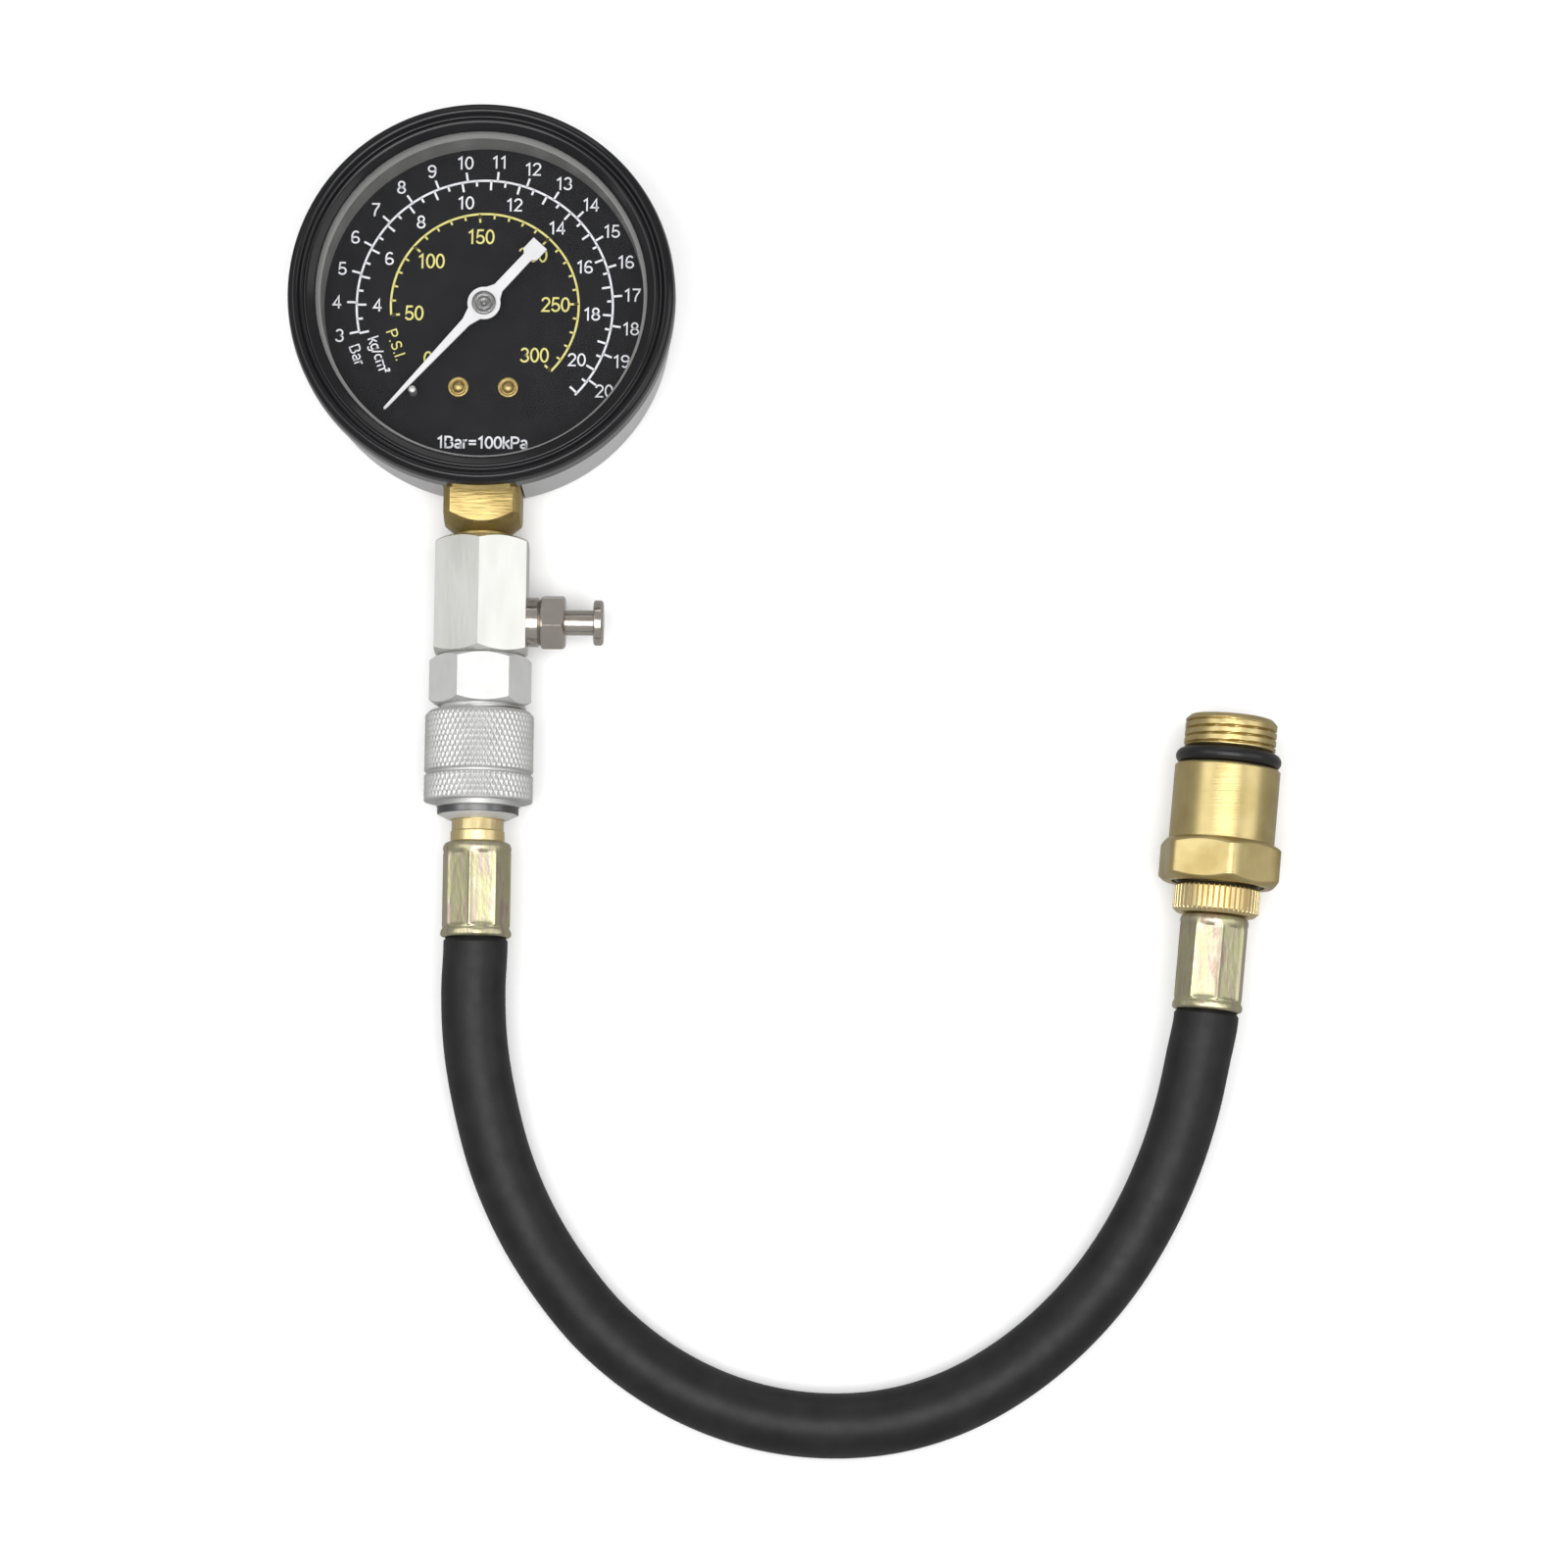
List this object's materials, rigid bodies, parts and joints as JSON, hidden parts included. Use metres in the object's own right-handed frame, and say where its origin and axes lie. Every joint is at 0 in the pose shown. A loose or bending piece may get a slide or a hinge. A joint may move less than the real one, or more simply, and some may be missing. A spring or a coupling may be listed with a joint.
{
  "type": "compression tester gauge",
  "caption": "Engine compression tester: dial gauge on a bleed block with a quick coupler, rubber hose and threaded spark plug adapter.",
  "frame": {"origin": "middle of the flat case back, on the pointer axis", "axes": "+Z leaves the dial, the stem points to -Y, the hose bends to +X"},
  "size_m": [0.1956, 0.2629, 0.031],
  "materials": {
    "black_enamel": "gloss black enamel",
    "grey_enamel": "satin grey enamel",
    "pale_enamel": "matt pale grey",
    "white_enamel": "matt white",
    "clear_lens": "clear polished",
    "black_rubber": "matt",
    "gold_brass": "machined",
    "pale_brass": "machined",
    "yellow_zinc": "yellow zinc plated",
    "nickel": "nickel plated",
    "steel": "plain steel",
    "dark_steel": "blackened spring steel",
    "aluminium": "bright turned"
  },
  "bodies": {
    "housing": {"case": "grey_enamel", "bezel": "black_enamel", "lens": "clear_lens", "lens_gasket": "black_rubber", "spacer_ring": "pale_enamel", "dial": "black_enamel", "dial_screws": "gold_brass", "stop_pin": "steel", "front_plate": "gold_brass", "back_plate": "gold_brass", "plate_pillars": "gold_brass", "hairspring": "gold_brass", "pressure_tube": "gold_brass", "stem": "gold_brass", "case_screws": "steel", "bleed_block": "aluminium", "bleed_body": "nickel", "bleed_spring": "steel", "coupler_body": "nickel", "sleeve_spring": "steel", "locking_balls": "steel", "snap_ring": "dark_steel", "coupler_seal": "black_rubber"},
    "pointer_shaft": {"pointer": "white_enamel", "pointer_bush": "nickel", "pinion": "gold_brass"},
    "sector": {"sector_gear": "gold_brass", "sector_arbor": "steel"},
    "tip_link": {"link": "steel", "tube_tip": "gold_brass"},
    "bleed_plunger": {"bleed_button": "nickel", "bleed_seal": "black_rubber"},
    "sleeve": {"coupler_sleeve": "nickel"},
    "hose_line": {"coupler_plug": "gold_brass", "upper_ferrule": "yellow_zinc", "hose": "black_rubber", "lower_ferrule": "yellow_zinc", "hose_end": "pale_brass", "hose_end_seal": "black_rubber", "spark_plug_adapter": "pale_brass", "adapter_seal": "black_rubber", "check_valve_body": "pale_brass", "check_valve_spring": "steel"},
    "valve_pin": {"check_valve_pin": "steel"}
  },
  "joints": [
    {"name": "sector_swing", "type": "hinge", "parent": "housing", "child": "sector", "pos_m": [0, -0.01656, 0.0102], "axis": [0, 0, 1], "range_deg": [0, 27.3], "deforming": ["pressure_tube"]},
    {"name": "pointer_spin", "type": "hinge", "parent": "housing", "child": "pointer_shaft", "pos_m": [0, 0, 0.0205], "axis": [0, 0, -1], "range_deg": [0, 273], "deforming": ["hairspring"]},
    {"name": "tip_link_turn", "type": "hinge", "parent": "sector", "child": "tip_link", "pos_m": [0.00142, -0.01073, 0.0115], "axis": [0, 0, 1], "range_deg": [-27.3, 0]},
    {"name": "bleed_press", "type": "slide", "parent": "housing", "child": "bleed_plunger", "axis": [-1, 0, 0], "range_m": [0, 0.002], "stiffness_N_per_m": 600, "springref_m": -0.003, "deforming": ["bleed_spring"]},
    {"name": "sleeve_pull", "type": "slide", "parent": "housing", "child": "sleeve", "axis": [0, 1, 0], "range_m": [0, 0.001], "stiffness_N_per_m": 1500, "springref_m": -0.004, "deforming": ["sleeve_spring"]},
    {"name": "plug_swivel", "type": "hinge", "parent": "housing", "child": "hose_line", "pos_m": [0, -0.0943, 0.0108], "axis": [0, -1, 0], "continuous": true},
    {"name": "valve_pin_press", "type": "slide", "parent": "hose_line", "child": "valve_pin", "axis": [-0.0872, -0.9962, 0], "range_m": [0, 0.0008], "stiffness_N_per_m": 150, "springref_m": -0.002, "deforming": ["check_valve_spring"]}
  ],
  "couplings": [
    {"joint": "pointer_spin", "follows": "sector_swing", "ratio": 10},
    {"joint": "tip_link_turn", "follows": "sector_swing", "ratio": -1}
  ]
}
